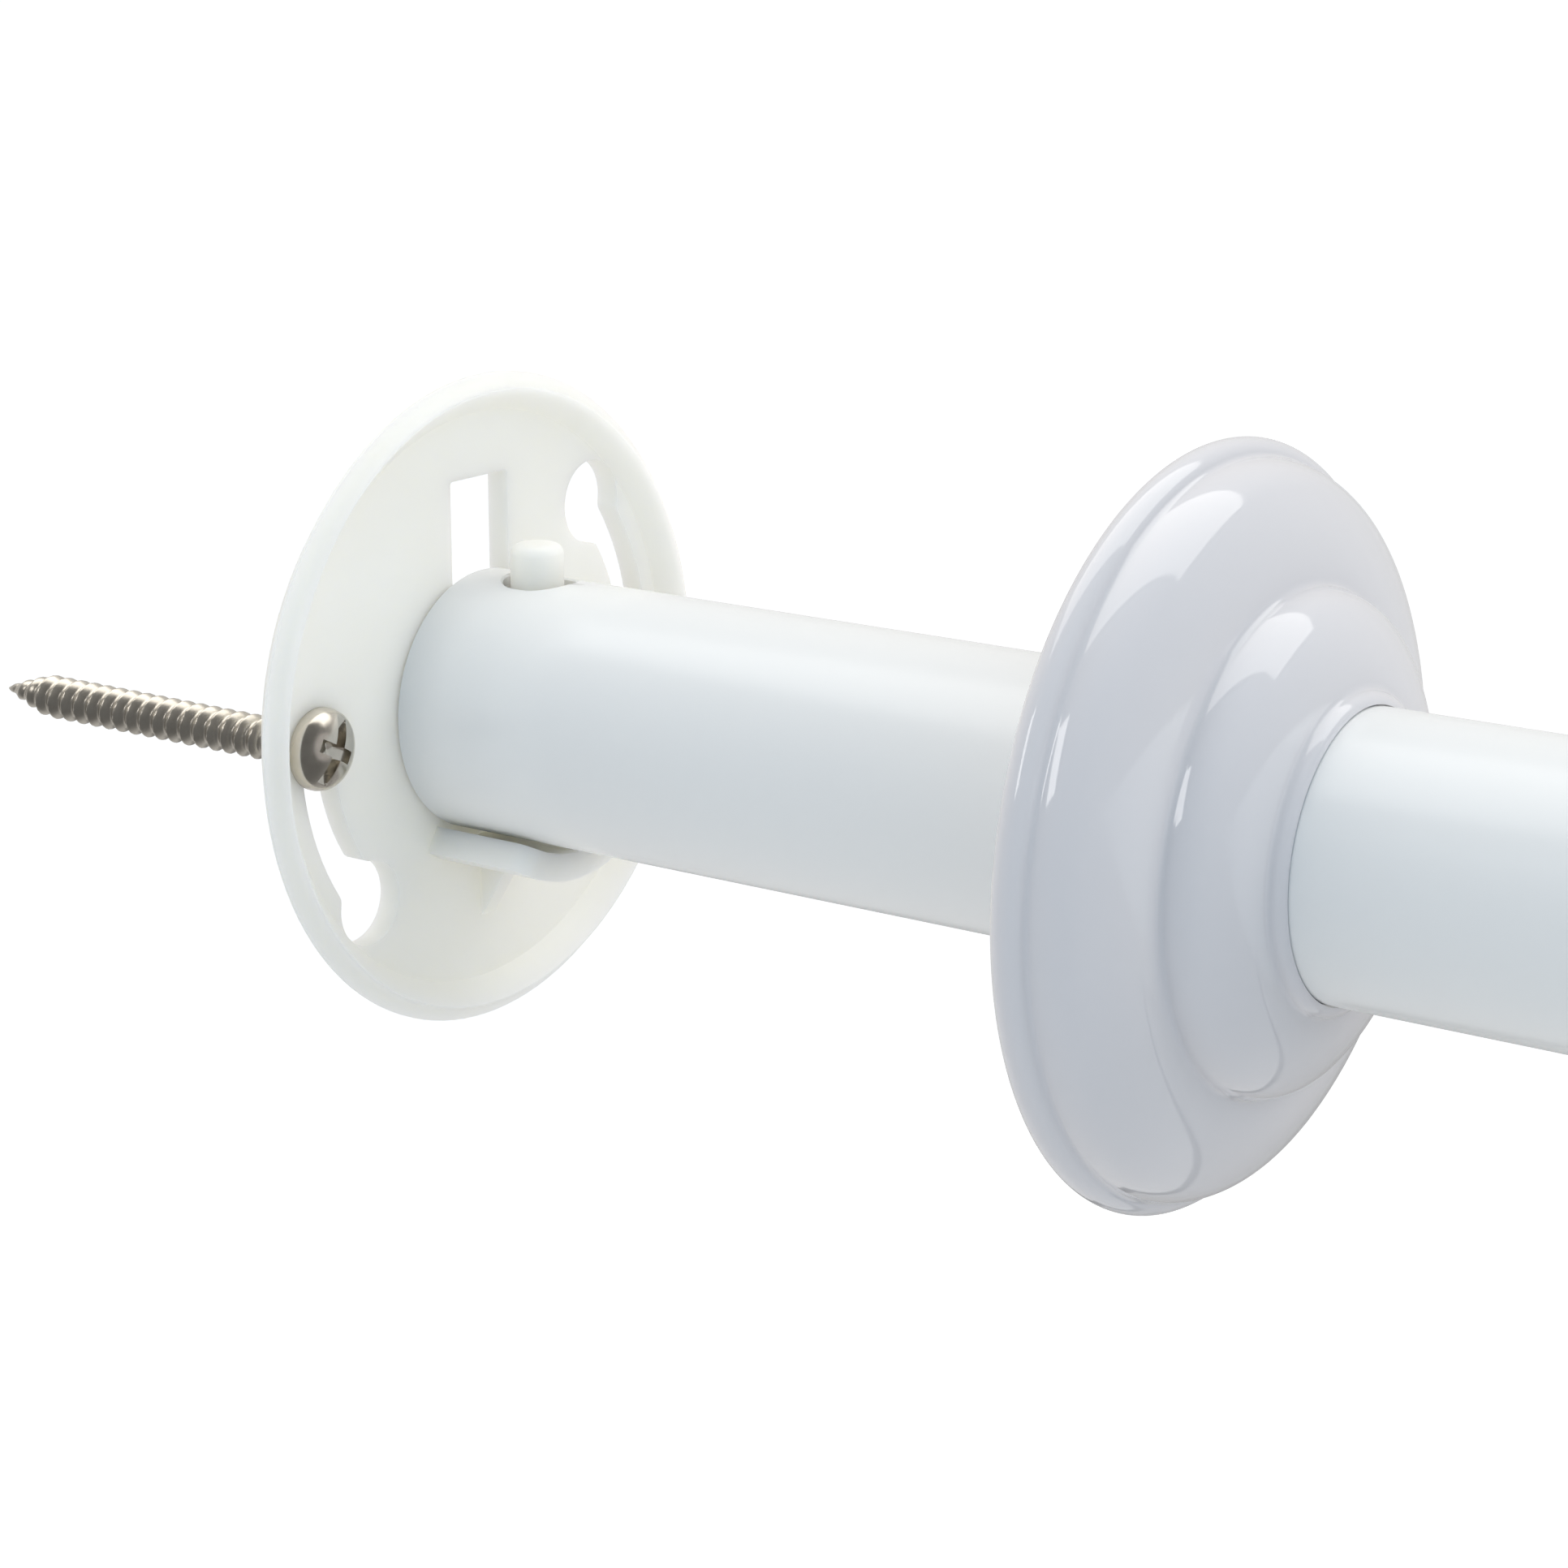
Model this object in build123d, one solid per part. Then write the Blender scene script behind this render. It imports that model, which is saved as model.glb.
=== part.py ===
from build123d import *
import os
from math import atan2, cos, degrees, radians, sin, sqrt

# Shower curtain rod between two walls, in millimetres.
# X runs along the rod and starts at the left wall, Z is up, and the rod's axis lies on Y = 0, Z = 0.
# Both ends carry the same mouldings, so each is modelled at the left wall and turned round for the right.

# The span and the tube
wall_to_wall = 1524.0
tube_diameter = 25.4
tube_wall = 1.0
tube_end_gap = 0.3

# The wall plate's dished disc: a flat middle, and a rim that stands clear of the wall
plate_diameter = 63.5
plate_thickness = 2.4
rim_height = 2.3
rim_thickness = 2.2
rim_width = 3.75
rim_slope = 2.1
rim_overlap = 0.8
rim_round = 1.5
rim_back_chamfer = 0.4

# The pointed screws that hold a plate to its wall
screw_diameter = 4.2
screw_length = 40.5
screw_neck_diameter = 3.4
screw_neck_relief = 0.4
screw_point_length = 6.0
screw_tip_diameter = 0.4
screw_head_diameter = 7.8
screw_head_height = 2.7
screw_head_edge = 0.6
screw_head_roundness = 0.62
screw_slot_width = 1.1
screw_slot_depth = 1.0
screw_cross_span = 4.2
screw_cross_depth = 1.6
screw_turn = 61.6

# The two keyholes: an arc slot for the shank that ends in a round for the head
keyhole_edge_distance = 7.85
keyhole_sweep = 44.0
keyhole_slot_play = 0.1
keyhole_head_play = 0.25
keyhole_corner_radius = 1.5

# The spigot inside the tube, a thin-walled stub with a thicker ring at its front
spigot_length = 48.0
spigot_play = 0.25
spigot_wall = 2.0
spigot_ring_length = 4.0
spigot_ring_lip = 0.4

# The sprung latch arm in the spigot's open top, with its button
arm_width = 6.6
arm_thickness = 1.8
arm_headroom = 0.4
arm_side_play = 0.7
arm_end_gap = 0.5
button_diameter = 5.1
button_height = 3.4
button_setback = 7.0
button_edge_radius = 1.0

# The hole in the tube, longer than the button because the button swings as it goes down
hole_play_back = 0.8
hole_play_front = 1.4
hole_play_side = 0.6

# The window in the plate behind the button
window_width = 8.4
window_headroom = 5.7
window_drop = 3.0
window_corner_radius = 0.3

# The cradle tongue under the tube and its rib
cradle_gap = 0.8
cradle_thickness = 2.7
cradle_half_angle = 33.0
cradle_length = 11.8
cradle_corner_radius = 2.0
rib_length = 4.4
rib_height = 5.7
rib_thickness = 2.0

# The stepped cover that slides on the tube
cover_wall = 1.4
cover_plate_play = 0.3
cover_tube_play = 0.3
cover_home_gap = 2.1
cover_floor_play = 1.2
cover_bead_radius = 1.5
cover_pocket_depth = 1.8
cover_outer_step = 10.15
cover_outer_depth = 6.3
cover_roundness = 0.73
cover_collar_height = 1.1
cover_collar_depth = 1.2
cover_setback = 81.2

# Sizes that follow from those above
tube_radius = tube_diameter / 2
tube_inner_radius = tube_radius - tube_wall
plate_radius = plate_diameter / 2
keyhole_radius = plate_radius - keyhole_edge_distance
keyhole_width = screw_diameter + 2 * keyhole_slot_play
keyhole_head_radius = screw_head_diameter / 2 + keyhole_head_play
spigot_radius = tube_inner_radius - spigot_play
spigot_bore_radius = spigot_radius - spigot_wall
arm_top = sqrt((tube_inner_radius - arm_headroom) ** 2 - (arm_width / 2) ** 2)
arm_bottom = arm_top - arm_thickness
arm_root = plate_thickness + spigot_length - spigot_ring_length
button_center = plate_thickness + button_setback
button_top = tube_radius + button_height
cradle_inner_radius = tube_radius + cradle_gap
cradle_outer_radius = cradle_inner_radius + cradle_thickness


def at_right_wall(piece):
    """The same piece at the other end of the rod, turned half round about the vertical."""
    return Pos(wall_to_wall, 0, 0) * Rot(0, 0, 180) * piece


def block(low, high):
    """A box between two opposite corners."""
    size = Vector(*high) - Vector(*low)
    return Pos(*low) * Box(size.X, size.Y, size.Z, align=Align.MIN)


def turned(outline):
    """A solid of revolution about the rod's axis, from an outline of (distance along, radius)."""
    return revolve(Plane.XZ * make_face(outline), Axis.X)


def domed_step(start, end, roundness, inset=0.0):
    """Two tangent arcs that leave start along the rod and reach end square to it, the tighter one first.
    Their radii follow from the step's depth and height; inset moves both in, for the inside of a wall."""
    depth = end[0] - start[0]
    height = start[1] - end[1]
    tight = roundness * depth
    wide = (depth**2 + height**2 - 2 * height * tight) / (2 * (depth - tight))
    meeting = degrees(atan2(height - tight, wide - depth))
    arcs = CenterArc((start[0], start[1] - tight), tight - inset, meeting, 90 - meeting)
    arcs += CenterArc((end[0] - wide, end[1]), wide - inset, 0, meeting)
    return arcs


def rod_tube():
    """The tube from plate to plate, with a slotted button hole through its top at each end."""
    start = plate_thickness + tube_end_gap
    section = Circle(tube_radius) - Circle(tube_inner_radius)
    tube = extrude(Plane.YZ.offset(start) * section, wall_to_wall - 2 * start)
    hole_length = button_diameter + hole_play_back + hole_play_front
    hole_center = button_center + (hole_play_front - hole_play_back) / 2
    hole_width = button_diameter + 2 * hole_play_side
    hole = extrude(Pos(hole_center, 0) * SlotOverall(hole_length, hole_width), tube_diameter)
    return tube - hole - at_right_wall(hole)


def plate_disc():
    """The dished disc: flat in the middle, sloping up to a rim that is rounded where the cover slips over it."""
    crest = plate_thickness + rim_height
    rim_back = crest - rim_thickness
    foot = plate_radius - rim_width
    brow = foot + rim_slope
    round_start = (crest - rim_round, plate_radius)
    round_end = (crest, plate_radius - rim_round)
    outline = Polyline(
        (plate_thickness, 0),
        (0, 0),
        (0, foot + rim_overlap),
        (rim_back, plate_radius - rim_back_chamfer),
        (rim_back + rim_back_chamfer, plate_radius),
        round_start,
    )
    outline += RadiusArc(round_start, round_end, -rim_round)
    outline += Polyline(round_end, (crest, brow), (plate_thickness, foot), (plate_thickness, 0))
    return turned(outline)


def keyhole():
    """One keyhole as a flat face, seen from the room, with softened corners where slot meets round."""
    slot = SlotArc(CenterArc((0, 0), keyhole_radius, 180, keyhole_sweep), keyhole_width)
    end = radians(180 + keyhole_sweep)
    middle = Vector(keyhole_radius * cos(end), keyhole_radius * sin(end))
    outline = slot + Pos(middle.X, middle.Y) * Circle(keyhole_head_radius)
    corners = outline.vertices().filter_by(
        lambda corner: abs((Vector(corner) - middle).length - keyhole_head_radius) < 1e-4
    )
    return fillet(corners, keyhole_corner_radius)


def spigot():
    """The stub inside the tube: open along its top for the latch arm, with a closed ring at the front."""
    length = spigot_length
    start = Plane.YZ.offset(plate_thickness)
    wall = extrude(start * (Circle(spigot_radius) - Circle(spigot_bore_radius)), length)
    half_gap = arm_width / 2 + arm_side_play
    gap = block((plate_thickness, -half_gap, arm_bottom - window_drop), (arm_root, half_gap, tube_radius))
    ring_bore = arm_bottom - spigot_ring_lip
    ring = extrude(Plane.YZ.offset(arm_root) * (Circle(spigot_radius) - Circle(ring_bore)), spigot_ring_length)
    return wall - gap + ring


def cradle():
    """The tongue under the tube: a slice of a sleeve with rounded corners, and the rib that stiffens it."""
    mean_radius = (cradle_inner_radius + cradle_outer_radius) / 2
    reach = plate_thickness + cradle_length
    sleeve = extrude(Plane.YZ * (Circle(cradle_outer_radius) - Circle(cradle_inner_radius)), reach)
    edge = 2 * cradle_outer_radius
    side = edge * sin(radians(cradle_half_angle))
    drop = edge * cos(radians(cradle_half_angle))
    wedge = Polyline((0, 0), (-side, -drop), (0, -2 * edge), (side, -drop), close=True)
    tongue = sleeve & extrude(Plane.YZ * make_face(wedge), reach)
    corners = tongue.faces().sort_by(Axis.X)[-1].edges().filter_by(GeomType.LINE)
    tongue = fillet(corners, cradle_corner_radius)
    triangle = Polyline(
        (plate_thickness, -mean_radius),
        (plate_thickness, -cradle_outer_radius - rib_height),
        (plate_thickness + rib_length, -mean_radius),
        close=True,
    )
    rib = extrude(Plane.XZ * make_face(triangle), rib_thickness / 2, both=True)
    return tongue + rib


def wall_plate():
    """The whole moulding that screws to the wall: disc, spigot and cradle, with its cut-outs."""
    body = plate_disc() + spigot() + cradle()
    crest = plate_thickness + rim_height
    opening = extrude(Plane.YZ * keyhole(), crest)
    window_bottom = arm_bottom - window_drop
    window_height = button_top + window_headroom - window_bottom
    pane = RectangleRounded(window_width, window_height, window_corner_radius)
    window = extrude(Plane.YZ * Pos(0, window_bottom + window_height / 2) * pane, plate_thickness)
    return body - opening - Rot(180, 0, 0) * opening - window


def latch_arm():
    """The sprung arm, rooted on the spigot's front ring, with the round button near its free end."""
    half_width = arm_width / 2
    free_end = plate_thickness + arm_end_gap
    arm = block((free_end, -half_width, arm_bottom), (arm_root, half_width, arm_top))
    stem = button_top - arm_bottom
    button = Pos(button_center, 0, arm_bottom) * extrude(Circle(button_diameter / 2), stem)
    top_edge = button.edges().sort_by(Axis.Z)[-1]
    return arm + fillet(top_edge, button_edge_radius)


def slide_cover():
    """The cover: two domed steps between a beaded rim and a collar that runs on the tube, all of one wall."""
    rim = plate_radius + cover_plate_play
    bore = tube_radius + cover_tube_play
    bead_end = 2 * cover_bead_radius
    floor = plate_thickness + cradle_length - cover_home_gap + cover_floor_play
    collar_end = floor + cover_wall + cover_collar_depth
    groove = (bead_end, rim)
    step = (bead_end + cover_outer_depth, rim - cover_outer_step)
    collar = (floor + cover_wall, bore + cover_collar_height)
    outline = ThreePointArc((0, rim), (cover_bead_radius, rim + cover_bead_radius), groove)
    outline += domed_step(groove, step, cover_roundness)
    outline += domed_step(step, collar, cover_roundness)
    outline += SagittaArc(collar, (collar_end, bore), -cover_collar_height / 3)
    outline += Polyline((collar_end, bore), (floor, bore), (floor, collar[1]))
    outline += domed_step(step, collar, cover_roundness, cover_wall)
    outline += Line((step[0], step[1] - cover_wall), (step[0] - cover_wall, step[1]))
    outline += domed_step(groove, step, cover_roundness, cover_wall)
    outline += Polyline((bead_end, rim - cover_wall), (cover_pocket_depth, rim), (0, rim))
    return Pos(cover_setback, 0, 0) * turned(outline)


def wall_screw():
    """One pan-head screw on the rod's axis line: its head seats on the plate, its plain neck lies in the plate's
    slot, and its threaded shank, at the thread's outer diameter, is all in the wall."""
    shank_radius = screw_diameter / 2
    neck_radius = screw_neck_diameter / 2
    head_radius = screw_head_diameter / 2
    tip = -screw_length
    neck_end = -plate_thickness - screw_neck_relief
    outline = Polyline(
        (screw_head_height, 0),
        (tip, 0),
        (tip, screw_tip_diameter / 2),
        (tip + screw_point_length, shank_radius),
        (neck_end, shank_radius),
        (neck_end, neck_radius),
        (0, neck_radius),
        (0, head_radius),
        (screw_head_edge, head_radius),
    )
    outline += domed_step((screw_head_edge, head_radius), (screw_head_height, 0), screw_head_roundness)
    screw = turned(outline)
    half_slot = screw_slot_width / 2
    half_cross = screw_cross_span / 2
    slot_floor = screw_head_height - screw_slot_depth
    cross_floor = screw_head_height - screw_cross_depth
    top = screw_head_height + screw_slot_depth
    slot = block((slot_floor, -head_radius, -half_slot), (top, head_radius, half_slot))
    upright = block((cross_floor, -half_slot, -half_cross), (top, half_slot, half_cross))
    level = block((cross_floor, -half_cross, -half_slot), (top, half_cross, half_slot))
    return Pos(plate_thickness, 0, 0) * (screw - slot - upright - level)


def wall_screws():
    """The four screws: two at each wall, at the narrow ends of the keyholes."""
    front = Pos(0, -keyhole_radius, 0) * Rot(screw_turn, 0, 0) * wall_screw()
    pair = [front, Rot(180, 0, 0) * front]
    return Compound(children=pair + [at_right_wall(screw) for screw in pair])


pieces = {
    "rod_tube": rod_tube(),
    "left_wall_plate": wall_plate(),
    "right_wall_plate": at_right_wall(wall_plate()),
    "left_latch_arm": latch_arm(),
    "right_latch_arm": at_right_wall(latch_arm()),
    "left_cover": slide_cover(),
    "right_cover": at_right_wall(slide_cover()),
    "wall_screws": wall_screws(),
}

os.makedirs("parts", exist_ok=True)
for name, piece in pieces.items():
    export_step(piece, f"parts/{name}.step")
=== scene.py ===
import math

import bmesh
import bpy
import numpy as np
from mathutils import Matrix, Vector


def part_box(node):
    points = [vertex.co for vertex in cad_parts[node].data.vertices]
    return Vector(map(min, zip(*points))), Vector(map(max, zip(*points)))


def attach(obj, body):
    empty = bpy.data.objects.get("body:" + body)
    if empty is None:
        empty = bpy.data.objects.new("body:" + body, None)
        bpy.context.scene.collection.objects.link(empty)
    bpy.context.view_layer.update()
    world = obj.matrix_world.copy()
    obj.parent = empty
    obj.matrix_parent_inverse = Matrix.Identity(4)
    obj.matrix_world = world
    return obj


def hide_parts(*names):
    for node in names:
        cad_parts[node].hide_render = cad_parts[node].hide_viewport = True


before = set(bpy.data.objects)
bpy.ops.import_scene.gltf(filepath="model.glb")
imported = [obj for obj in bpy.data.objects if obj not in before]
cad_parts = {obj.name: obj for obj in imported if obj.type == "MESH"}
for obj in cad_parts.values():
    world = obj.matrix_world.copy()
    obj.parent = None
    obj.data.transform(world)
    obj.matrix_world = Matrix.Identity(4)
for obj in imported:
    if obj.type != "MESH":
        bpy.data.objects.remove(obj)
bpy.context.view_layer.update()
mm = 0.001

# Wall plates
# Each end of the rod hangs on a dished disc with a spigot and a cradle, moulded in one shot of natural nylon.
# The nylon is unpigmented, so it is a milky warm white that light passes into.
moulded_weld = 0.001 * mm
moulded_edge_degrees = 30.0
# A Mix node's colour sockets go by number, because its other kinds of socket have the same names.
mix_share, mix_first, mix_second, mix_result = 0, 6, 7, 2


def linear(colour):
    """An sRGB hex colour as linear red, green, blue and full alpha, by the sRGB transfer curve."""
    channels = np.array([int(colour[start:start + 2], 16) for start in (1, 3, 5)]) / 255
    curved = np.where(channels <= 0.04045, channels / 12.92, ((channels + 0.055) / 1.055) ** 2.4)
    return (*curved.tolist(), 1.0)


def add_node(tree, kind, values=None, links=None, **settings):
    """One shader node: settings are its options, values its constant sockets, links its wired ones."""
    node = tree.nodes.new(kind)
    for option, value in settings.items():
        setattr(node, option, value)
    for socket, value in (values or {}).items():
        node.inputs[socket].default_value = value
    for socket, source in (links or {}).items():
        tree.links.new(source, node.inputs[socket])
    return node


def new_material(name):
    """An empty node material and its tree, for a finish that is built up below."""
    material = bpy.data.materials.new(name)
    material.use_nodes = True
    material.node_tree.nodes.clear()
    return material, material.node_tree


def natural_nylon():
    """Unpigmented nylon from a satin mould: milky, because light scatters some millimetres inside it, with
    faint clouds where it flowed and a fine grain that dulls its shine."""
    material, tree = new_material("natural_nylon_moulded")
    cloud_size = 9 * mm
    grain_size = 0.45 * mm
    grain_depth = 0.02 * mm
    scatter_reach = 5.5 * mm
    place = add_node(tree, "ShaderNodeTexCoord").outputs["Object"]
    cloud = add_node(tree, "ShaderNodeTexNoise", {"Scale": 1 / cloud_size, "Detail": 3.0}, {"Vector": place})
    grain = add_node(tree, "ShaderNodeTexNoise", {"Scale": 1 / grain_size, "Detail": 2.0}, {"Vector": place})
    tint = add_node(tree, "ShaderNodeMix", {mix_first: linear("#F5F1E6"), mix_second: linear("#F9F5ED")},
                    {mix_share: cloud.outputs["Fac"]}, data_type="RGBA")
    rough = add_node(tree, "ShaderNodeMapRange", {"To Min": 0.40, "To Max": 0.52},
                     {"Value": grain.outputs["Fac"]})
    bump = add_node(tree, "ShaderNodeBump", {"Strength": 0.15, "Distance": grain_depth},
                    {"Height": grain.outputs["Fac"]})
    skin = add_node(tree, "ShaderNodeBsdfPrincipled",
                    {"IOR": 1.53, "Subsurface Weight": 1.0, "Subsurface Radius": (1.0, 1.0, 0.9),
                     "Subsurface Scale": scatter_reach},
                    {"Base Color": tint.outputs[mix_result], "Roughness": rough.outputs["Result"],
                     "Normal": bump.outputs["Normal"]})
    add_node(tree, "ShaderNodeOutputMaterial", links={"Surface": skin.outputs["BSDF"]})
    return material


def smoothed(name, body, material):
    """A moulding in place of its plain solid: the same faces, welded, with their stored normals dropped, and
    shaded as one curve wherever they bend by less than moulded_edge_degrees."""
    shell = bmesh.new()
    shell.from_mesh(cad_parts[name].data)
    bmesh.ops.remove_doubles(shell, verts=shell.verts, dist=moulded_weld)
    mesh = bpy.data.meshes.new(f"{name}_moulded")
    shell.to_mesh(mesh)
    shell.free()
    stored_normals = mesh.attributes.get("custom_normal")
    if stored_normals is not None:
        mesh.attributes.remove(stored_normals)
    mesh.shade_smooth()
    mesh.set_sharp_from_angle(angle=math.radians(moulded_edge_degrees))
    mesh.materials.clear()
    mesh.materials.append(material)
    piece = bpy.data.objects.new(f"{name}_moulded", mesh)
    bpy.context.scene.collection.objects.link(piece)
    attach(piece, body)
    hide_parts(name)


nylon = natural_nylon()
smoothed("left_wall_plate", "rod", nylon)
smoothed("right_wall_plate", "rod", nylon)

# Latch arms
# A sprung finger with a round button, moulded with the plate, that snaps up through the hole in the tube.
# It is the same natural nylon as the plate.
smoothed("left_latch_arm", "left_latch", nylon)
smoothed("right_latch_arm", "right_latch", nylon)

# Wall screws
# Two pan-head screws hold each plate, with a slot crossed by a four-wing recess, a plain neck and a coarse
# thread. They are stamped and rolled from stainless wire, left bright, so they mirror the room in warm greys.
tube_low, tube_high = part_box("rod_tube")
span = tube_low.x + tube_high.x
plate_face = 2.4 * mm
screw_circle_radius = 23.9 * mm
screw_turn = math.radians(61.6)
head_radius = 3.9 * mm
head_edge = 0.6 * mm
head_height = 2.7 * mm
head_roundness = 0.62
head_rows = 61
dome_points = 60
core_half = 2.6 * mm
core_share = 0.8
core_columns = 41
brim_columns = 13
seat_bevel = 0.12 * mm
seat_share = 0.975
under_share = 0.2
slot_half = 0.55 * mm
slot_depth = 1.0 * mm
cross_reach = 2.1 * mm
cross_depth = 1.6 * mm
wing_slope = 0.25
recess_wall = 0.07 * mm
shank_length = 40.5 * mm
shank_radius = 2.1 * mm
shank_overlap = 0.5 * mm
neck_length = 2.8 * mm
neck_radius = 1.7 * mm
root_radius = 1.5 * mm
thread_pitch = 1.75 * mm
thread_run_in = 0.6 * mm
thread_rows_per_turn = 18
thread_columns = 41
ridge_half = 0.4
ridge_fullness = 0.75
point_length = 6 * mm
point_fullness = 0.75
thread_roughness = 0.32
grid_weld = 0.002 * mm
screw_edge_degrees = 40.0


def quads(rows, columns, first):
    """Corner numbers of every cell of a grid whose points are numbered row by row, from first."""
    corner = first + np.arange(rows * columns).reshape(rows, columns)
    cells = [corner[:-1, :-1], corner[:-1, 1:], corner[1:, 1:], corner[1:, :-1]]
    return np.stack(cells, axis=-1).reshape(-1, 4)


def add_piece(name, grids, material, edge_degrees, drop=None):
    """One mesh object from grids of points, less the cells to drop, welded where the grids meet and with its
    faces turned outwards."""
    starts = np.cumsum([0] + [grid.shape[0] * grid.shape[1] for grid in grids])
    points = np.concatenate([grid.reshape(-1, 3) for grid in grids])
    faces = np.concatenate([quads(*grid.shape[:2], start) for grid, start in zip(grids, starts)])
    if drop is not None:
        faces = faces[~drop]
    mesh = bpy.data.meshes.new(name)
    mesh.from_pydata(points.tolist(), [], faces.tolist())
    shell = bmesh.new()
    shell.from_mesh(mesh)
    bmesh.ops.remove_doubles(shell, verts=shell.verts, dist=grid_weld)
    bmesh.ops.recalc_face_normals(shell, faces=shell.faces)
    shell.to_mesh(mesh)
    shell.free()
    mesh.shade_smooth()
    mesh.set_sharp_from_angle(angle=math.radians(edge_degrees))
    mesh.materials.append(material)
    piece = bpy.data.objects.new(name, mesh)
    bpy.context.scene.collection.objects.link(piece)
    return piece


def domed_step(start, end, roundness, inset=0.0, count=24):
    """Two tangent arcs in the plane of (along, radius), the tight one first, that leave start along the rod
    and reach end square to it. A point is its arc's centre plus the arc's radius, less the inset, at an angle
    that falls from a right angle to nil."""
    depth, height = end[0] - start[0], start[1] - end[1]
    tight = roundness * depth
    wide = (depth ** 2 + height ** 2 - 2 * height * tight) / (2 * (depth - tight))
    meeting = math.atan2(height - tight, wide - depth)
    first = np.linspace(math.pi / 2, meeting, count)[:, None]
    second = np.linspace(meeting, 0, count)[1:, None]
    brow_centre = [start[0], start[1] - tight]
    face_centre = [end[0] - wide, end[1]]
    brow = brow_centre + (tight - inset) * np.concatenate([np.cos(first), np.sin(first)], axis=1)
    face = face_centre + (wide - inset) * np.concatenate([np.cos(second), np.sin(second)], axis=1)
    return np.concatenate([brow, face])


def screw_head():
    """The head's top as rows across it: height is read off a domed profile at each distance from the middle,
    then cut down to the slot's and the cross's floors. Every edge of the recess is a line of the grid."""
    swing = np.linspace(-math.pi / 2, math.pi / 2, head_rows)
    edges = np.array([-slot_half - recess_wall, -slot_half, slot_half, slot_half + recess_wall])
    wing_ends = np.array([-cross_reach - recess_wall, -cross_reach, cross_reach, cross_reach + recess_wall])
    across = np.unique(np.concatenate([head_radius * np.sin(swing), edges, wing_ends]))
    limit = np.sqrt(np.maximum(head_radius ** 2 - across ** 2, 0))
    core = np.minimum(core_half, core_share * limit)
    even = np.linspace(-core_half, core_half, core_columns)
    inner = np.unique(np.concatenate([even, edges, wing_ends])) / core_half
    outer = 1 - np.cos(np.linspace(0, math.pi / 2, brim_columns)[1:])
    middle = inner * core[:, None]
    right = core[:, None] + outer * (limit - core)[:, None]
    along = np.concatenate([-right[:, ::-1], middle, right], axis=1)
    cross = np.broadcast_to(across[:, None], along.shape)
    profile = domed_step((head_edge, head_radius), (head_height, 0), head_roundness, count=dome_points)[::-1]
    dome = np.interp(np.hypot(along, cross), profile[:, 1], profile[:, 0])
    wing_floor = head_height - cross_depth + wing_slope * np.maximum(np.abs(along), np.abs(cross))
    tiny = 1e-9
    in_slot = np.abs(cross) <= slot_half + tiny
    in_level = in_slot & (np.abs(along) <= cross_reach + tiny)
    in_upright = (np.abs(along) <= slot_half + tiny) & (np.abs(cross) <= cross_reach + tiny)
    height = np.where(in_slot, np.minimum(dome, head_height - slot_depth), dome)
    height = np.where(in_level | in_upright, np.minimum(height, wing_floor), height)
    return np.stack([height, along, cross], axis=-1)


def screw_skirt(head):
    """The head's side and underside: its outline carried down to the seat's bevel, then in to the shank."""
    outline = np.concatenate([head[:, 0], head[::-1, -1], head[:1, 0]])
    side = outline * [0, 1, 1] + [seat_bevel, 0, 0]
    seat = outline * [0, seat_share, seat_share]
    middle = outline * [0, under_share, under_share]
    return np.stack([outline, side, seat, middle])


def screw_thread():
    """Radius from the axis is the core's plus a ridge that winds once round for every pitch, from the plain
    neck to the drawn-out point."""
    rows = int(shank_length / thread_pitch * thread_rows_per_turn)
    depth = np.linspace(-shank_overlap, shank_length, rows)[:, None]
    turn = np.linspace(0, 2 * math.pi, thread_columns)[None, :]
    phase = (depth / thread_pitch - turn / (2 * math.pi)) % 1
    ridge = np.clip(1 - np.abs(phase - 0.5) / ridge_half, 0, 1) ** ridge_fullness
    started = np.clip((depth - neck_length) / thread_run_in, 0, 1)
    taper = np.clip((shank_length - depth) / point_length, 0, 1)
    core = neck_radius + (root_radius - neck_radius) * started
    radius = (core + (shank_radius - root_radius) * ridge * started) * taper ** point_fullness
    body = np.stack(np.broadcast_arrays(-depth, radius * np.cos(turn), radius * np.sin(turn)), axis=-1)
    cap = body[:1] * [1, 0, 0]
    return np.concatenate([cap, body])


def turned_about_rod(points, angle):
    """Points turned about the rod's axis, as a product with the turn's matrix."""
    turn = np.array(Matrix.Rotation(angle, 3, "X"))
    return points @ turn.T


def at_right_wall(points):
    """The same points at the other end of the rod: x and y change sign, which is half a turn about the
    vertical, and x is moved by the span."""
    return points * [-1, -1, 1] + [span, 0, 0]


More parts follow.
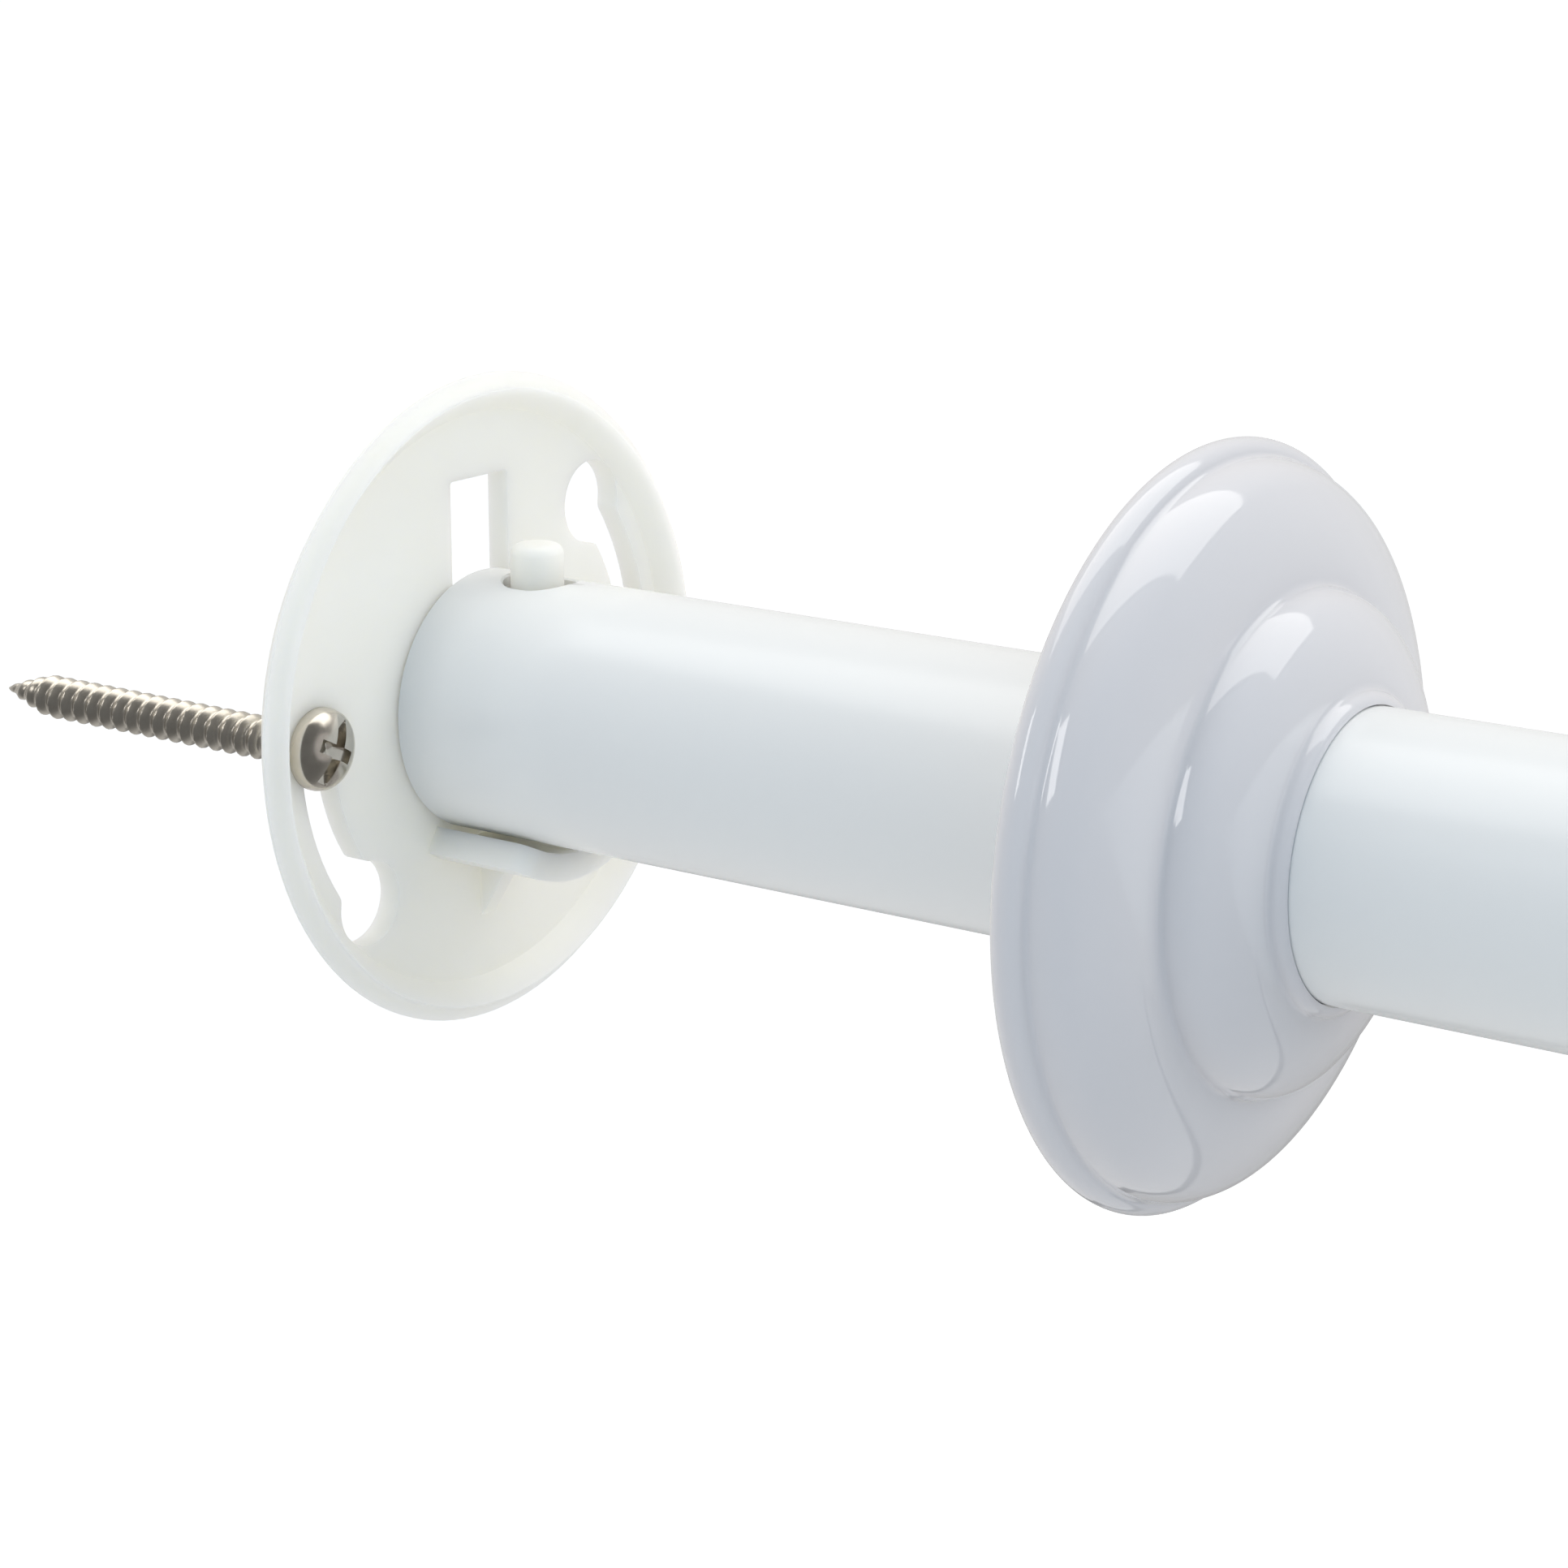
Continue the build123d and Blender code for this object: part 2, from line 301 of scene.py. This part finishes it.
def stainless():
    """Stainless wire: the stamped head is a mirror softened by fine lines and tiny dings, and the rolled
    thread beyond the plate is duller."""
    material, tree = new_material("stainless_rolled")
    line_size = 0.25 * mm
    ding_size = 1.1 * mm
    ding_depth = 0.02 * mm
    place = add_node(tree, "ShaderNodeTexCoord").outputs["Object"]
    lines = add_node(tree, "ShaderNodeTexNoise", {"Scale": 1 / line_size, "Detail": 2.0}, {"Vector": place})
    dings = add_node(tree, "ShaderNodeTexNoise", {"Scale": 1 / ding_size, "Detail": 2.0}, {"Vector": place})
    tint = add_node(tree, "ShaderNodeMix", {mix_first: linear("#C9C2B6"), mix_second: linear("#E0DACF")},
                    {mix_share: dings.outputs["Fac"]}, data_type="RGBA")
    polish = add_node(tree, "ShaderNodeMapRange", {"To Min": 0.14, "To Max": 0.26},
                      {"Value": lines.outputs["Fac"]})
    along = add_node(tree, "ShaderNodeSeparateXYZ", links={"Vector": place}).outputs["X"]
    from_middle = add_node(tree, "ShaderNodeMath", {1: span / 2}, {0: along}, operation="SUBTRACT")
    reach = add_node(tree, "ShaderNodeMath", links={0: from_middle.outputs["Value"]}, operation="ABSOLUTE")
    rough = add_node(tree, "ShaderNodeMapRange",
                     {"From Min": span / 2 - plate_face, "From Max": span / 2, "To Max": thread_roughness},
                     {"Value": reach.outputs["Value"], "To Min": polish.outputs["Result"]})
    bump = add_node(tree, "ShaderNodeBump", {"Strength": 0.15, "Distance": ding_depth},
                    {"Height": dings.outputs["Fac"]})
    metal = add_node(tree, "ShaderNodeBsdfPrincipled", {"Metallic": 1.0},
                     {"Base Color": tint.outputs[mix_result], "Roughness": rough.outputs["Result"],
                      "Normal": bump.outputs["Normal"]})
    add_node(tree, "ShaderNodeOutputMaterial", links={"Surface": metal.outputs["BSDF"]})
    return material


screw_steel = stainless()
head = screw_head()
screw = [turned_about_rod(grid, screw_turn) for grid in (head, screw_skirt(head), screw_thread())]
front_screw = [grid + [plate_face, -screw_circle_radius, 0] for grid in screw]
rear_screw = [turned_about_rod(grid, math.pi) for grid in front_screw]
for side, grids in (("front", front_screw), ("rear", rear_screw)):
    for wall, moved in (("left", grids), ("right", [at_right_wall(grid) for grid in grids])):
        piece = add_piece(f"{wall}_{side}_screw", moved, screw_steel, screw_edge_degrees)
        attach(piece, "rod")
        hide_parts("wall_screws")

# Tube
# One straight length of welded steel tube, with a slotted button hole punched through its top at each end.
# It is sprayed with white enamel and baked, which leaves a semi-gloss coat with a faint orange peel.
tube_radius = (tube_high.z - tube_low.z) / 2
tube_wall = 1.0 * mm
tube_bore = tube_radius - tube_wall
tube_seating = 0.2 * mm
tube_columns = 145
hole_start = 6.05 * mm
hole_end = 13.35 * mm
hole_half = 3.15 * mm
hole_edge = 0.2 * mm
hole_margin = 1.5 * mm
hole_rows = 61
run_rows = 41
tube_edge_degrees = 40.0


def hole_half_width(x, start, end, half):
    """Half the width of an obround hole at each x: a half round at both ends, level between, nil outside."""
    inside = np.minimum(x - start, end - x)
    rise = np.clip(inside, 0, half)
    return np.sqrt(np.maximum(half ** 2 - (half - rise) ** 2, 0))


def tube_rows():
    """Stations along the tube: spaced as a cosine over each hole, so that they are closest at its ends, then
    one long even run between the holes."""
    swing = 0.5 - 0.5 * np.cos(np.linspace(0, math.pi, hole_rows))
    near = hole_start + (hole_end - hole_start) * swing
    wide = hole_start - hole_edge + (hole_end - hole_start + 2 * hole_edge) * swing
    beside = [hole_start - hole_margin, hole_end + hole_margin]
    left = np.unique(np.concatenate([[tube_low.x - tube_seating], beside, near, wide]).round(7))
    run = np.linspace(left[-1], span - left[-1], run_rows)[1:-1]
    return np.concatenate([left, run, span - left[::-1]])


def tube_grid():
    """Rows along the tube, and columns once round its outside and back round its inside. A column's angle
    runs from one lip of the hole to the other; away from the holes both lips meet at the top."""
    x = tube_rows()
    nearest = np.minimum(x, span - x)
    lip = hole_half_width(nearest, hole_start, hole_end, hole_half)
    wide = hole_half_width(nearest, hole_start - hole_edge, hole_end + hole_edge, hole_half + hole_edge)
    share = np.linspace(0, 1, tube_columns)
    outer_lip = np.arcsin(wide / tube_radius)[:, None]
    inner_lip = np.arcsin(lip / tube_bore)[:, None]
    wall_lip = np.arcsin(lip / (tube_radius - hole_edge))[:, None]
    outside = outer_lip + share * (2 * math.pi - 2 * outer_lip)
    inside = inner_lip + share * (2 * math.pi - 2 * inner_lip)
    angle = np.concatenate(
        [outside, 2 * math.pi - wall_lip, inside[:, ::-1], wall_lip, outside[:, :1]], axis=1
    )
    radius = np.concatenate(
        [np.full(tube_columns, tube_radius), [tube_radius - hole_edge], np.full(tube_columns, tube_bore),
         [tube_radius - hole_edge], [tube_radius]]
    )
    along = np.broadcast_to(x[:, None], angle.shape)
    body = np.stack([along, radius * np.sin(angle), radius * np.cos(angle)], axis=-1)
    at_seam = np.isclose(np.sin(angle), 0, atol=1e-9) & (np.cos(angle) > 0)
    closed = at_seam[:-1, :-1] & at_seam[:-1, 1:] & at_seam[1:, 1:] & at_seam[1:, :-1]
    return body, closed.reshape(-1)


def tube_ends(body):
    """The flat rings at the tube's two cut ends, from its outside to its bore."""
    outside = body[:, :tube_columns]
    inside = body[:, tube_columns + 1:2 * tube_columns + 1][:, ::-1]
    return [np.stack([outside[end], inside[end]]) for end in (0, -1)]


def baked_enamel():
    """White enamel baked on steel: semi-gloss, with an orange peel some millimetres across and hardly any
    depth."""
    material, tree = new_material("white_enamel_baked")
    peel_size = 2.2 * mm
    peel_depth = 0.02 * mm
    dust_size = 0.6 * mm
    place = add_node(tree, "ShaderNodeTexCoord").outputs["Object"]
    peel = add_node(tree, "ShaderNodeTexNoise", {"Scale": 1 / peel_size, "Detail": 1.0}, {"Vector": place})
    dust = add_node(tree, "ShaderNodeTexNoise", {"Scale": 1 / dust_size, "Detail": 2.0}, {"Vector": place})
    rough = add_node(tree, "ShaderNodeMapRange", {"To Min": 0.20, "To Max": 0.25},
                     {"Value": dust.outputs["Fac"]})
    bump = add_node(tree, "ShaderNodeBump", {"Strength": 0.05, "Distance": peel_depth},
                    {"Height": peel.outputs["Fac"]})
    coat = add_node(tree, "ShaderNodeBsdfPrincipled", {"Base Color": linear("#EFF0F0"), "IOR": 1.5},
                    {"Roughness": rough.outputs["Result"], "Normal": bump.outputs["Normal"]})
    add_node(tree, "ShaderNodeOutputMaterial", links={"Surface": coat.outputs["BSDF"]})
    return material


body, closed = tube_grid()
rings = tube_ends(body)
ring_cells = np.zeros(len(rings) * (tube_columns - 1), dtype=bool)
tube = add_piece("rod_tube_enamelled", [body, *rings], baked_enamel(), tube_edge_degrees,
                 drop=np.concatenate([closed, ring_cells]))
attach(tube, "rod")
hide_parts("rod_tube")

# Covers
# A stepped dome that hides the plate and its screws once it is pushed along the tube to the wall.
# It is moulded in white ABS from a polished tool, so it is glossy and shows the lamps sharply.
cover_low, cover_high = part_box("left_cover")
cover_wall = 1.4 * mm
bead_radius = 1.5 * mm
outer_step = 10.15 * mm
outer_depth = 6.3 * mm
cover_roundness = 0.73
collar_height = 1.1 * mm
collar_depth = 1.2 * mm
pocket_depth = 1.8 * mm
tube_play = 0.12 * mm
groove_reach = 0.45 * mm
collar_reach = 0.4 * mm
bead_points = 41
step_points = 40
bend_points = 9
cover_turns = 240
cover_edge_degrees = 50.0


def eased(before, after, reach):
    """Two curves joined by a parabola in place of their corner: it leaves one and meets the other at reach
    from the corner, which is its control point."""
    corner = after[0]
    before = before[np.hypot(*(before - corner).T) > reach]
    after = after[np.hypot(*(after - corner).T) > reach]
    share = np.linspace(0, 1, bend_points)[1:-1, None]
    bend = (1 - share) ** 2 * before[-1] + 2 * share * (1 - share) * corner + share ** 2 * after[0]
    return np.concatenate([before, bend, after])


def cover_profile():
    """The cover's closed section as (distance along, radius): a half-round bead, two domed steps and a
    rounded collar outside, then the bore, the floor and the same two steps inset by the wall, back to the
    pocket in the bead."""
    rim = (cover_high.z - cover_low.z) / 2 - bead_radius
    bore = tube_radius + tube_play
    groove = (2 * bead_radius, rim)
    step = (groove[0] + outer_depth, rim - outer_step)
    collar = (cover_high.x - cover_low.x - collar_depth, bore + collar_height)
    around = np.linspace(math.pi, 0, bead_points)[:, None]
    bead = [bead_radius, rim] + bead_radius * np.concatenate([np.cos(around), np.sin(around)], axis=1)
    outer = domed_step(groove, step, cover_roundness, count=step_points)
    inner = domed_step(step, collar, cover_roundness, count=step_points)
    bend = np.linspace(0, math.pi / 2, bend_points)[:, None]
    rounding = np.concatenate([collar_depth * np.sin(bend), collar_height * np.cos(bend)], axis=1)
    lip = [collar[0], bore] + rounding
    floor = [[collar[0] - cover_wall, bore]]
    hollow = domed_step(step, collar, cover_roundness, cover_wall)[::-1]
    dish = domed_step(groove, step, cover_roundness, cover_wall)[::-1]
    pocket = [[pocket_depth, rim], [0, rim]]
    outside = eased(eased(eased(bead, outer, groove_reach), inner, groove_reach), lip, collar_reach)
    return np.concatenate([outside, floor, hollow, dish, pocket])


def lathed(profile, turns):
    """A profile of (distance along, radius) carried once round the rod's axis."""
    turn = np.linspace(0, 2 * math.pi, turns + 1)[:, None]
    along = np.broadcast_to(profile[:, 0], (turns + 1, len(profile)))
    return np.stack([along, profile[:, 1] * np.cos(turn), profile[:, 1] * np.sin(turn)], axis=-1)


def gloss_abs():
    """Polished white ABS: a clear gloss over a cool white, slightly uneven where it shrank in the mould."""
    material, tree = new_material("white_abs_polished")
    sink_size = 14 * mm
    sink_depth = 0.1 * mm
    haze_size = 0.8 * mm
    place = add_node(tree, "ShaderNodeTexCoord").outputs["Object"]
    sink = add_node(tree, "ShaderNodeTexNoise", {"Scale": 1 / sink_size, "Detail": 1.0}, {"Vector": place})
    haze = add_node(tree, "ShaderNodeTexNoise", {"Scale": 1 / haze_size, "Detail": 2.0}, {"Vector": place})
    rough = add_node(tree, "ShaderNodeMapRange", {"To Min": 0.06, "To Max": 0.09},
                     {"Value": haze.outputs["Fac"]})
    bump = add_node(tree, "ShaderNodeBump", {"Strength": 0.08, "Distance": sink_depth},
                    {"Height": sink.outputs["Fac"]})
    gloss = add_node(tree, "ShaderNodeBsdfPrincipled",
                     {"Base Color": linear("#E1DFE2"), "IOR": 1.53, "Coat Weight": 0.6,
                      "Coat Roughness": 0.06},
                     {"Roughness": rough.outputs["Result"], "Normal": bump.outputs["Normal"]})
    add_node(tree, "ShaderNodeOutputMaterial", links={"Surface": gloss.outputs["BSDF"]})
    return material


cover_gloss = gloss_abs()
cover_grid = lathed(cover_profile(), cover_turns) + [cover_low.x, 0, 0]
for name, grid in (("left_cover", cover_grid), ("right_cover", at_right_wall(cover_grid))):
    cover = add_piece(f"{name}_moulded", [grid], cover_gloss, cover_edge_degrees)
    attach(cover, f"{name}_ring")
    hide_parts(name)

# Camera
# It stands in front of the left end, to the right and a little above, with a long lens.
# Its place and angles are those that put the tube, the plate and the cover where the photograph has them.
camera_azimuth = math.radians(35.413)
camera_elevation = math.radians(15.271)
camera_place = Vector((234.5, -276.095, 89.438)) * mm
up = Vector((0, 0, 1))


def direction(azimuth, elevation):
    """The unit vector towards an azimuth, counted from the rod's front to its right, and an elevation."""
    level = math.cos(elevation)
    return Vector((math.sin(azimuth) * level, -math.cos(azimuth) * level, math.sin(elevation)))


camera = bpy.data.cameras.new("camera")
camera.sensor_fit = "HORIZONTAL"
camera.sensor_width = 36.0
camera.lens = 87.6
camera.clip_start = 0.01
camera.clip_end = 200.0
back = direction(camera_azimuth, camera_elevation)
aside = up.cross(back).normalized()
ahead = up.cross(aside)
viewer = bpy.data.objects.new("camera", camera)
viewer.matrix_world = Matrix((aside, back.cross(aside), back)).transposed().to_4x4()
viewer.location = camera_place
bpy.context.scene.collection.objects.link(viewer)
bpy.context.scene.camera = viewer
bpy.context.scene.view_settings.view_transform = "Standard"

# Floor and background
# A wide floor of white paper well below the rod, and plain white all round for the camera. Glossy faces see a
# room that is brighter behind the rod than on the camera's side, and below it a grey sheet with a dark seam.
floor_drop = 0.45
floor_half = 40.0
wall_brightness = 1.12
right_lean = 2.0
room_near = 0.15
room_far = 0.65
far_lift = 0.54
lamp_share = 0.43
overhead_height = 1.0
overhead_place = (aside * 0.5 + ahead * 0.15 + up) * overhead_height
sheet_drop = floor_drop - 0.01
sheet_brightness = 0.38
seam_width = 0.06
seam_drop = 0.01


def stage_sheet(name, corners, material):
    """A flat sheet between corners given as (aside, ahead, up) from the rod's left end."""
    points = np.array(corners) @ np.array([aside, ahead, up])
    mesh = bpy.data.meshes.new(name)
    mesh.from_pydata(points.tolist(), [], [(0, 1, 2, 3)])
    mesh.materials.append(material)
    sheet = bpy.data.objects.new(name, mesh)
    bpy.context.scene.collection.objects.link(sheet)
    return sheet


def white_paper():
    """White paper, lifted to white for the camera alone, so that it lights the rod as plain paper does.
    The lift is least under the overhead lamp: it falls short by lamp_share over (1 + distance squared over
    height squared) squared, as the lamp's own light fades, so the rod's shadow stays on the paper."""
    material, tree = new_material("white_paper")
    lamp_foot = Vector((overhead_place.x, overhead_place.y, -floor_drop))
    height = overhead_place.z + floor_drop
    place = add_node(tree, "ShaderNodeTexCoord").outputs["Object"]
    away = add_node(tree, "ShaderNodeVectorMath", {1: lamp_foot}, {0: place}, operation="DISTANCE")
    away_squared = add_node(tree, "ShaderNodeMath", {1: 2.0}, {0: away.outputs["Value"]}, operation="POWER")
    spread = add_node(tree, "ShaderNodeMath", {1: 1 / height ** 2, 2: 1.0},
                      {0: away_squared.outputs["Value"]}, operation="MULTIPLY_ADD")
    fading = add_node(tree, "ShaderNodeMath", {1: -2.0}, {0: spread.outputs["Value"]}, operation="POWER")
    missing = add_node(tree, "ShaderNodeMath", {1: -lamp_share, 2: far_lift}, {0: fading.outputs["Value"]},
                       operation="MULTIPLY_ADD")
    rays = add_node(tree, "ShaderNodeLightPath")
    paper = add_node(tree, "ShaderNodeBsdfDiffuse", {"Color": linear("#F4F4F4")})
    lift = add_node(tree, "ShaderNodeEmission", {"Color": linear("#FFFFFF")},
                    {"Strength": missing.outputs["Value"]})
    both = add_node(tree, "ShaderNodeAddShader",
                    links={0: paper.outputs["BSDF"], 1: lift.outputs["Emission"]})
    seen = add_node(tree, "ShaderNodeMixShader",
                    links={"Fac": rays.outputs["Is Camera Ray"], 1: paper.outputs["BSDF"],
                           2: both.outputs["Shader"]})
    add_node(tree, "ShaderNodeOutputMaterial", links={"Surface": seen.outputs["Shader"]})
    return material


def plain_glow(name, strength):
    """A sheet of even brightness, for what the glossy faces mirror."""
    material, tree = new_material(name)
    glow = add_node(tree, "ShaderNodeEmission", {"Color": linear("#FFFFFF"), "Strength": strength})
    add_node(tree, "ShaderNodeOutputMaterial", links={"Surface": glow.outputs["Emission"]})
    return material


def studio():
    """The world round the rod, which differs for each kind of ray. The camera sees plain white. Glossy faces
    see room_near on the camera's side, rising smoothly to room_far behind the rod. All else is lit by
    wall_brightness times (1 - z squared) times (1 + right_lean times z times x squared), where z is up and x
    is along the rod and not below nil, in a warm white that turns blue by the square of how far it lies on
    the camera's side."""
    world = bpy.data.worlds.new("studio")
    world.use_nodes = True
    tree = world.node_tree
    tree.nodes.clear()
    heading = add_node(tree, "ShaderNodeTexCoord").outputs["Generated"]
    behind = add_node(tree, "ShaderNodeVectorMath", {1: ahead}, {0: heading}, operation="DOT_PRODUCT")
    room = add_node(tree, "ShaderNodeMapRange",
                    {"From Min": -0.4, "From Max": 0.6, "To Min": room_near, "To Max": room_far},
                    {"Value": behind.outputs["Value"]}, interpolation_type="SMOOTHSTEP")
    height = add_node(tree, "ShaderNodeVectorMath", {1: up}, {0: heading}, operation="DOT_PRODUCT")
    height_squared = add_node(tree, "ShaderNodeMath", {1: 2.0}, {0: height.outputs["Value"]},
                              operation="POWER")
    level = add_node(tree, "ShaderNodeMath", {1: -wall_brightness, 2: wall_brightness},
                     {0: height_squared.outputs["Value"]}, operation="MULTIPLY_ADD")
    along = add_node(tree, "ShaderNodeVectorMath", {1: (1, 0, 0)}, {0: heading}, operation="DOT_PRODUCT")
    rightward = add_node(tree, "ShaderNodeMath", {1: 0.0}, {0: along.outputs["Value"]}, operation="MAXIMUM")
    right_squared = add_node(tree, "ShaderNodeMath", {1: 2.0}, {0: rightward.outputs["Value"]},
                             operation="POWER")
    lean = add_node(tree, "ShaderNodeMath",
                    links={0: height.outputs["Value"], 1: right_squared.outputs["Value"]},
                    operation="MULTIPLY")
    gain = add_node(tree, "ShaderNodeMath", {1: right_lean, 2: 1.0}, {0: lean.outputs["Value"]},
                    operation="MULTIPLY_ADD")
    leaning = add_node(tree, "ShaderNodeMath", links={0: level.outputs["Value"], 1: gain.outputs["Value"]},
                       operation="MULTIPLY")
    front = add_node(tree, "ShaderNodeVectorMath", {1: -ahead}, {0: heading}, operation="DOT_PRODUCT")
    facing = add_node(tree, "ShaderNodeMath", {1: 0.0}, {0: front.outputs["Value"]}, operation="MAXIMUM")
    shade = add_node(tree, "ShaderNodeMath", {1: 2.0}, {0: facing.outputs["Value"]}, operation="POWER")
    tone = add_node(tree, "ShaderNodeMix", {mix_first: linear("#FDFBF8"), mix_second: linear("#80B1D3")},
                    {mix_share: shade.outputs["Value"]}, data_type="RGBA")
    air = add_node(tree, "ShaderNodeBackground",
                   links={"Color": tone.outputs[mix_result], "Strength": leaning.outputs["Value"]})
    mirrored = add_node(tree, "ShaderNodeBackground", {"Color": linear("#FFFFFF")},
                        {"Strength": room.outputs["Result"]})
    white = add_node(tree, "ShaderNodeBackground", {"Color": linear("#FFFFFF"), "Strength": 1.0})
    rays = add_node(tree, "ShaderNodeLightPath")
    shiny = add_node(tree, "ShaderNodeMath",
                     links={0: rays.outputs["Is Glossy Ray"], 1: rays.outputs["Is Transmission Ray"]},
                     operation="MAXIMUM")
    unseen = add_node(tree, "ShaderNodeMixShader",
                      links={"Fac": shiny.outputs["Value"], 1: air.outputs["Background"],
                             2: mirrored.outputs["Background"]})
    sky = add_node(tree, "ShaderNodeMixShader",
                   links={"Fac": rays.outputs["Is Camera Ray"], 1: unseen.outputs["Shader"],
                          2: white.outputs["Background"]})
    add_node(tree, "ShaderNodeOutputWorld", links={"Surface": sky.outputs["Shader"]})
    return world


corner_signs = np.array([(-1, -1, 0), (1, -1, 0), (1, 1, 0), (-1, 1, 0)])
floor = stage_sheet("floor", floor_half * corner_signs - [0, 0, floor_drop], white_paper())
floor.visible_glossy = False

sheet_corners = np.array([(0.25, 0.56, -1.0), (2.60, 0.08, -1.0), (2.60, 2.50, -1.0), (-0.30, 2.50, -1.0)])
seam_corners = sheet_corners + seam_width * corner_signs - [0, 0, seam_drop]
for name, corners, brightness in (("mirrored_sheet", sheet_corners, sheet_brightness),
                                  ("mirrored_seam", seam_corners, 0.0)):
    sheet = stage_sheet(name, corners * sheet_drop, plain_glow(name, brightness))
    sheet.visible_camera = False
    sheet.visible_diffuse = False
    sheet.visible_transmission = False
    sheet.visible_shadow = False
bpy.context.scene.world = studio()

# Lamps
# A wide softbox hangs over the rod, square to the camera, and lays the soft shadow on the floor.
# A small diffused lamp stands in front to the left, and shows as a highlight on what is glossy.
overhead_size = (2.6, 0.9)
overhead_brightness = 1.65
front_size = (0.22, 0.42)
front_brightness = 3.6
front_place = direction(math.radians(-3), math.radians(29))


def softbox(name, place, axis, size, brightness, colour):
    """A rectangular lamp at a place seen from the rod's left end, shining against its axis, with its width
    square to the camera. Its power is its brightness times its area times pi."""
    lamp = bpy.data.lights.new(name, "AREA")
    lamp.shape = "RECTANGLE"
    lamp.size, lamp.size_y = size
    lamp.energy = brightness * size[0] * size[1] * math.pi
    lamp.color = linear(colour)[:3]
    holder = bpy.data.objects.new(name, lamp)
    across = (aside - axis * aside.dot(axis)).normalized()
    holder.matrix_world = Matrix((across, axis.cross(across), axis)).transposed().to_4x4()
    holder.location = place
    bpy.context.scene.collection.objects.link(holder)


softbox("overhead_softbox", overhead_place, up, overhead_size, overhead_brightness, "#FFFDF9")
softbox("front_lamp", front_place, front_place, front_size, front_brightness, "#FFFDFA")
